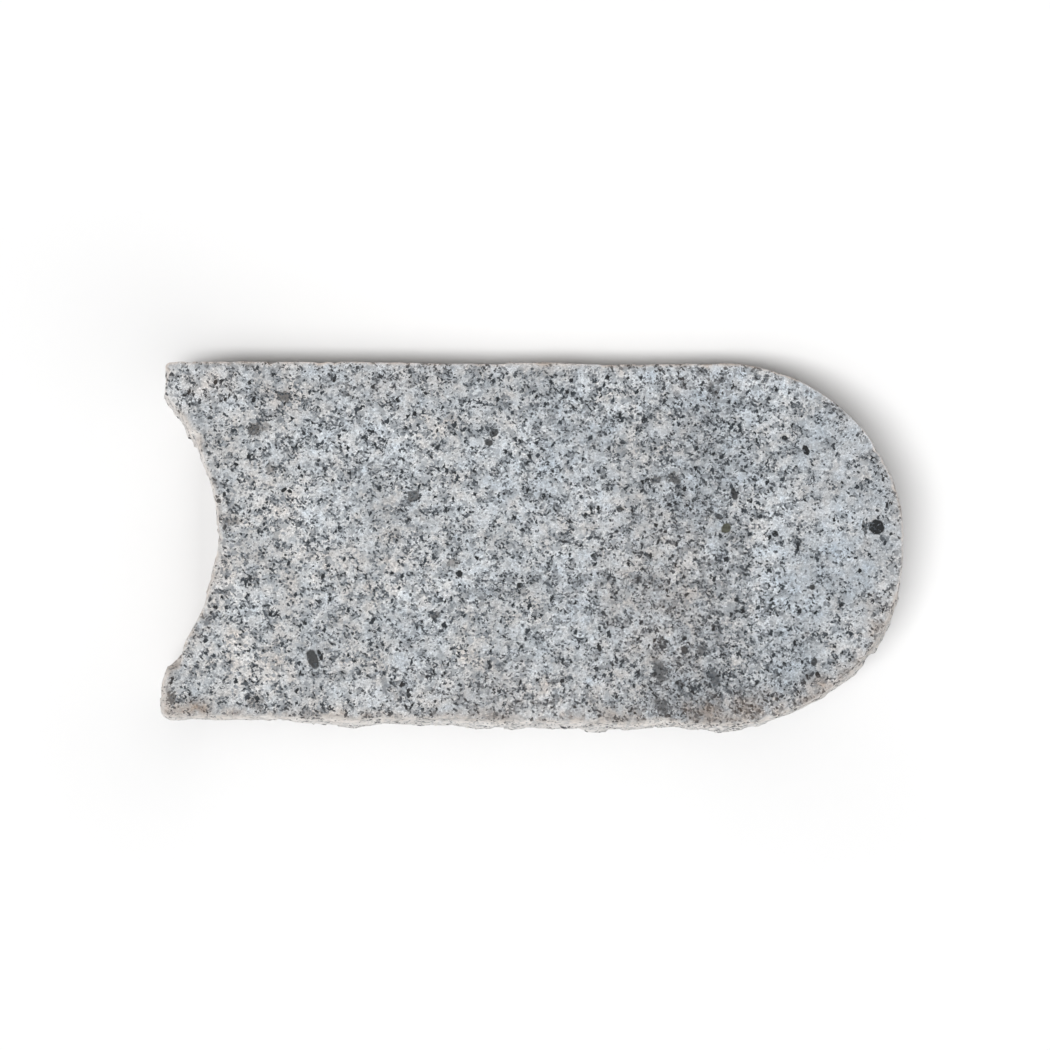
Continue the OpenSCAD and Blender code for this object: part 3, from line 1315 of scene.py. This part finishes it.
        return bench.mix(shows, colour, tones), shows

    def placed(self, bench: Bench, colour: Socket, place: Socket, opaque: bool) -> tuple[Socket, Socket]:
        """Set the single large crystals into the tread.

        A crystal fills the places whose way from its middle, turned to its length and divided
        by its half sizes, is shorter than 1. Noise is added to that way for a crystal that light
        goes through, so that it is ragged.

        Args:
            bench: Where the nodes are set out.
            colour: Colour of the stone without them.
            place: Place in millimetres.
            opaque: Whether to set the dark opaque crystals or those that light goes through.

        Returns:
            The colour with the crystals, and how much of one lies at each place.
        """
        crooked = self.bend(bench, place, *(self.opaque_bend if opaque else self.clear_bend))
        crooked = self.bend(bench, crooked, *self.fine_bend)
        grain = bench.noise(place, *self.crystal_noise).outputs["Fac"]
        ragged = bench.sum("MULTIPLY", bench.sum("SUBTRACT", grain, 0.5), self.crystal_rags)
        facets = bench.span(grain, *self.facets)
        total = None
        for crystal in self.crystals:
            if crystal.mineral.opaque != opaque:
                continue
            mapping = bench.node("ShaderNodeMapping", {
                "Vector": crooked,
                "Location": (crystal.x, crystal.y, self.crystal_level),
                "Rotation": (0.0, 0.0, math.radians(crystal.turn)),
                "Scale": (crystal.long, crystal.wide, self.crystal_deep * crystal.wide),
            }, vector_type="TEXTURE")
            length = bench.length(mapping.outputs[0])
            if not opaque:
                length = bench.sum("ADD", length, ragged)
            soft = self.edge_soft + self.clear_soft * (1.0 - crystal.mineral.solid)
            inside = bench.span(length, 1.0 - soft, 1.0 + soft, crystal.mineral.solid, 0.0)
            colour = bench.mix(inside, colour, bench.vector("MULTIPLY", facets, crystal.mineral.colour))
            total = inside if total is None else bench.sum("MAXIMUM", total, inside)
        return colour, total

    def bruised(self, bench: Bench, colour: Socket, place: Socket, split: Socket) -> Socket:
        """Pale the feldspar and quartz of the split faces, where the blows have bruised them."""
        pale = bench.sum("MULTIPLY", split, bench.patches(place, self.bruises))
        return bench.mix(pale, colour, self.bruise_colour)

    def weather(self, bench: Bench, colour: Socket, place: Socket, worn: Socket, film: Socket) -> Socket:
        """Pale the crumbled arrises, and lay the rust-brown film on in rags that the flecks show through.

        Args:
            bench: Where the nodes are set out.
            colour: Colour of the fresh stone.
            place: Place in millimetres.
            worn: 1 where the arris has crumbled.
            film: 1 where the film is thickest.

        Returns:
            The weathered colour.
        """
        pale = bench.sum("MULTIPLY", worn, bench.patches(place, self.crumbs))
        colour = bench.mix(pale, colour, self.crumb_colour)
        rags = bench.sum("MULTIPLY", film, bench.patches(place, self.film_rags))
        stained = bench.mix(self.film_cover, bench.vector("MULTIPLY", colour, RUST_TINT), RUST_FILM)
        return bench.mix(rags, colour, stained)

    def relief(self, bench: Bench, place: Socket, split: Socket) -> Socket:
        """Raise the grains a little.

        Args:
            bench: Where the nodes are set out.
            place: Place in millimetres.
            split: 1 on the split faces and 0 on the sawn ones.

        Returns:
            The surface's normal.
        """
        height = bench.noise(place, *self.raised_noise).outputs["Fac"]
        strength = bench.span(split, 0.0, 1.0, *self.raised_strength)
        inputs = {"Strength": strength, "Distance": self.raised_depth * MM, "Height": height}
        return bench.node("ShaderNodeBump", inputs).outputs[0]


# Table, light and camera


@dataclass(frozen=True)
class Lamp:
    """An oval lamp overhead: its share of the light, and its tilts and half widths in degrees."""

    share: float
    left: float
    front: float
    half_wide: float
    half_deep: float


@dataclass(frozen=True)
class Studio:
    """White table in a light tent, under two long oval lamps that hang a little to the front left."""

    table_size: float = 8000.0
    table_lit: float = 0.6
    table_shown: float = 1.045
    # Painted shade on the table round the stone, a grey tone: the depth and the fade of its wide and its
    # close part
    tones: tuple[tuple[float, float], ...] = ((0.16, 42.0), (0.14, 8.5))
    # How far the painted shade reaches into the hollow, its share on the side away from the light, and the
    # places along the way of the light between which the share turns
    painted_shade_hollow: float = 5.5
    painted_shade_lee: float = 0.2
    painted_shade_turn: tuple[float, float] = (-60.0, 20.0)
    # Brightness of the tent overhead and at the table's level, and the slope by which it has died down
    tent_top: float = 0.08
    tent_foot: float = 1.4
    tent_turn: float = 0.32
    # Way that the tent's foot is brightest, and its share of light there and on the far side
    tent_towards: tuple[float, float, float] = (-0.55, -0.835, 0.0)
    tent_bright: float = 1.7
    tent_dim: float = 0.2
    lamp_distance: float = 30000.0
    lamps: tuple[Lamp, ...] = (Lamp(0.66, 7.0, 5.0, 12.5, 3.0), Lamp(0.23, 10.0, 7.0, 14.0, 8.5))

    def camera_sees(self, bench: Bench) -> Socket:
        """Tell rays that show a thing to the camera, straight or in gloss or glass, from the rest."""
        rays = bench.node("ShaderNodeLightPath", {}).outputs
        seen = bench.sum("MAXIMUM", rays["Is Camera Ray"], rays["Is Glossy Ray"])
        return bench.sum("MAXIMUM", seen, rays["Is Transmission Ray"])

    def build(self, plan: StonePlan) -> None:
        """Set up the table, the tent and the lamps round a stone of the given plan."""
        self.table(plan)
        self.tent()
        for number, lamp in enumerate(self.lamps, 1):
            self.hang(lamp, f"soft_lamp_{number}")

    def painted_table_shade(self, bench: Bench, plan: StonePlan) -> Socket:
        """Paint shade on the table: tone its white down towards the stone.

        The distance is that from the round of the nose and from a line a little inside the horn
        tips, or the root of the sum of their squares. Each part of the tone dies away with it as
        exp(-distance / fade), and all of it is weaker on the side away from the light.

        Args:
            bench: Where the nodes are set out.
            plan: The stone's plan.

        Returns:
            The table's brightness.
        """
        place = bench.millimetres()
        from_nose = bench.vector("SUBTRACT", place, (*plan.nose, 0.0))
        x, y, _ = bench.node("ShaderNodeSeparateXYZ", {0: from_nose}).outputs
        nose = bench.length(bench.flat(bench.sum("MAXIMUM", x, 0.0), y))
        nose = bench.sum("SUBTRACT", nose, plan.nose_radius)
        horns = bench.sum("SUBTRACT", plan.horn_x + self.painted_shade_hollow - plan.nose[0], x)
        away = bench.length(bench.flat(bench.sum("MAXIMUM", nose, 0.0), bench.sum("MAXIMUM", horns, 0.0)))
        tone = 0.0
        for depth, fade in self.tones:
            part = bench.sum("EXPONENT", bench.sum("DIVIDE", away, -fade))
            tone = bench.sum("ADD", tone, bench.sum("MULTIPLY", part, depth * self.table_shown))
        share = bench.span(bench.along(place, self.tent_towards), *self.painted_shade_turn, self.painted_shade_lee, 1.0)
        return bench.sum("SUBTRACT", self.table_shown, bench.sum("MULTIPLY", tone, share))

    def table(self, plan: StonePlan) -> None:
        """Lay a flat white table under the stone, with a soft grey painted shade close to it."""
        half = self.table_size / 2.0 * MM
        corners = [(-half, -half, 0.0), (half, -half, 0.0), (half, half, 0.0), (-half, half, 0.0)]
        mesh = bpy.data.meshes.new("table")
        mesh.from_pydata(corners, [], [(0, 1, 2, 3)])
        table = bpy.data.objects.new("table", mesh)
        bpy.context.scene.collection.objects.link(table)
        cover = bpy.data.materials.new("white_table")
        bench = Bench(cover)
        # The camera sees the table with painted shade round the stone; other rays see it plain
        shade = bench.mix(self.camera_sees(bench), (self.table_lit,) * 3, self.painted_table_shade(bench, plan))
        diffuse = bench.node("ShaderNodeBsdfDiffuse", {"Color": shade})
        bench.node("ShaderNodeOutputMaterial", {0: diffuse.outputs[0]})
        mesh.materials.append(cover)

    def tent(self) -> None:
        """Light the stone softly, most from the front left, and show plain white to the camera."""
        world = bpy.data.worlds.new("light_tent")
        bench = Bench(world)
        way = bench.node("ShaderNodeTexCoord", {}).outputs["Generated"]
        slope = bench.node("ShaderNodeSeparateXYZ", {0: way}).outputs["Z"]
        foot = bench.node("ShaderNodeMapRange", {
            "Value": slope, "From Max": self.tent_turn, "To Min": self.tent_foot, "To Max": 0.0}).outputs[0]
        facing = bench.along(way, self.tent_towards)
        foot = bench.sum("MULTIPLY", foot, bench.span(facing, -1.0, 1.0, self.tent_dim, self.tent_bright))
        shown = bench.mix(self.camera_sees(bench), bench.sum("ADD", foot, self.tent_top), (1.0,) * 3)
        sky = bench.node("ShaderNodeBackground", {"Color": shown, "Strength": 1.0})
        bench.node("ShaderNodeOutputWorld", {0: sky.outputs[0]})
        bpy.context.scene.world = world

    def hang(self, lamp: Lamp, name: str) -> None:
        """Hang an oval lamp that gives the tread its share of light.

        A lamp of power P, facing a point at distance d, lights it with P / (pi d d), and a white
        face then looks as bright as that over pi. On a level face it is scaled by the lamp's
        height over its distance.

        Args:
            lamp: The lamp.
            name: Name of its light and its object.
        """
        left, front = math.tan(math.radians(lamp.left)), math.tan(math.radians(lamp.front))
        height = self.lamp_distance * MM
        distance = height * math.sqrt(1.0 + left * left + front * front)
        light = bpy.data.lights.new(name, "AREA")
        light.shape = "ELLIPSE"
        light.size = 2.0 * height * math.tan(math.radians(lamp.half_wide))
        light.size_y = 2.0 * height * math.tan(math.radians(lamp.half_deep))
        light.energy = lamp.share * math.pi ** 2 * distance ** 3 / height
        hung = bpy.data.objects.new(name, light)
        hung.location = (-left * height, -front * height, height)
        hung.rotation_euler = (math.radians(lamp.front), -math.radians(lamp.left), 0.0)
        bpy.context.scene.collection.objects.link(hung)


@dataclass(frozen=True)
class PhotoCamera:
    """Camera straight above the stone, framed as the photograph is."""

    image_side: float = 1050.0
    pixels_per_mm: float = 3.755
    stone_middle: tuple[float, float] = (533.0, 545.9)
    turn: float = 0.3
    lens: float = 120.0
    sensor: float = 36.0
    clip_end: float = 100.0

    def build(self, tread: float) -> None:
        """Hang the camera so that the tread has the photograph's scale.

        Args:
            tread: Height of the tread, in millimetres.
        """
        angle = math.radians(self.turn)
        right = (self.image_side / 2.0 - self.stone_middle[0]) / self.pixels_per_mm
        up = (self.stone_middle[1] - self.image_side / 2.0) / self.pixels_per_mm
        x = right * math.cos(angle) - up * math.sin(angle)
        y = right * math.sin(angle) + up * math.cos(angle)
        distance = self.image_side / self.pixels_per_mm * self.lens / self.sensor
        data = bpy.data.cameras.new("photo_camera")
        data.lens = self.lens
        data.sensor_width = self.sensor
        data.clip_end = self.clip_end
        camera = bpy.data.objects.new("photo_camera", data)
        camera.location = (x * MM, y * MM, (tread + distance) * MM)
        camera.rotation_euler = (0.0, 0.0, angle)
        bpy.context.scene.collection.objects.link(camera)
        bpy.context.scene.camera = camera


def main() -> None:
    """Build the studio and the stone."""
    logging.basicConfig(level=logging.INFO, format="%(name)s: %(message)s")
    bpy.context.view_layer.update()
    low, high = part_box(NODE)
    height = (high[2] - low[2]) / MM
    plan = StonePlan(Fracture())

    bpy.context.scene.view_settings.view_transform = "Standard"
    Studio().build(plan)
    PhotoCamera().build(height)

    stone = KerbStone(plan, ArrisWear(), Weather(), BakeSheet(), height)
    made = stone.build()
    stone.dress(made, Granite())
    log.info("%s: %d faces", made.name, len(made.data.polygons))


if __name__ == "__main__":
    main()
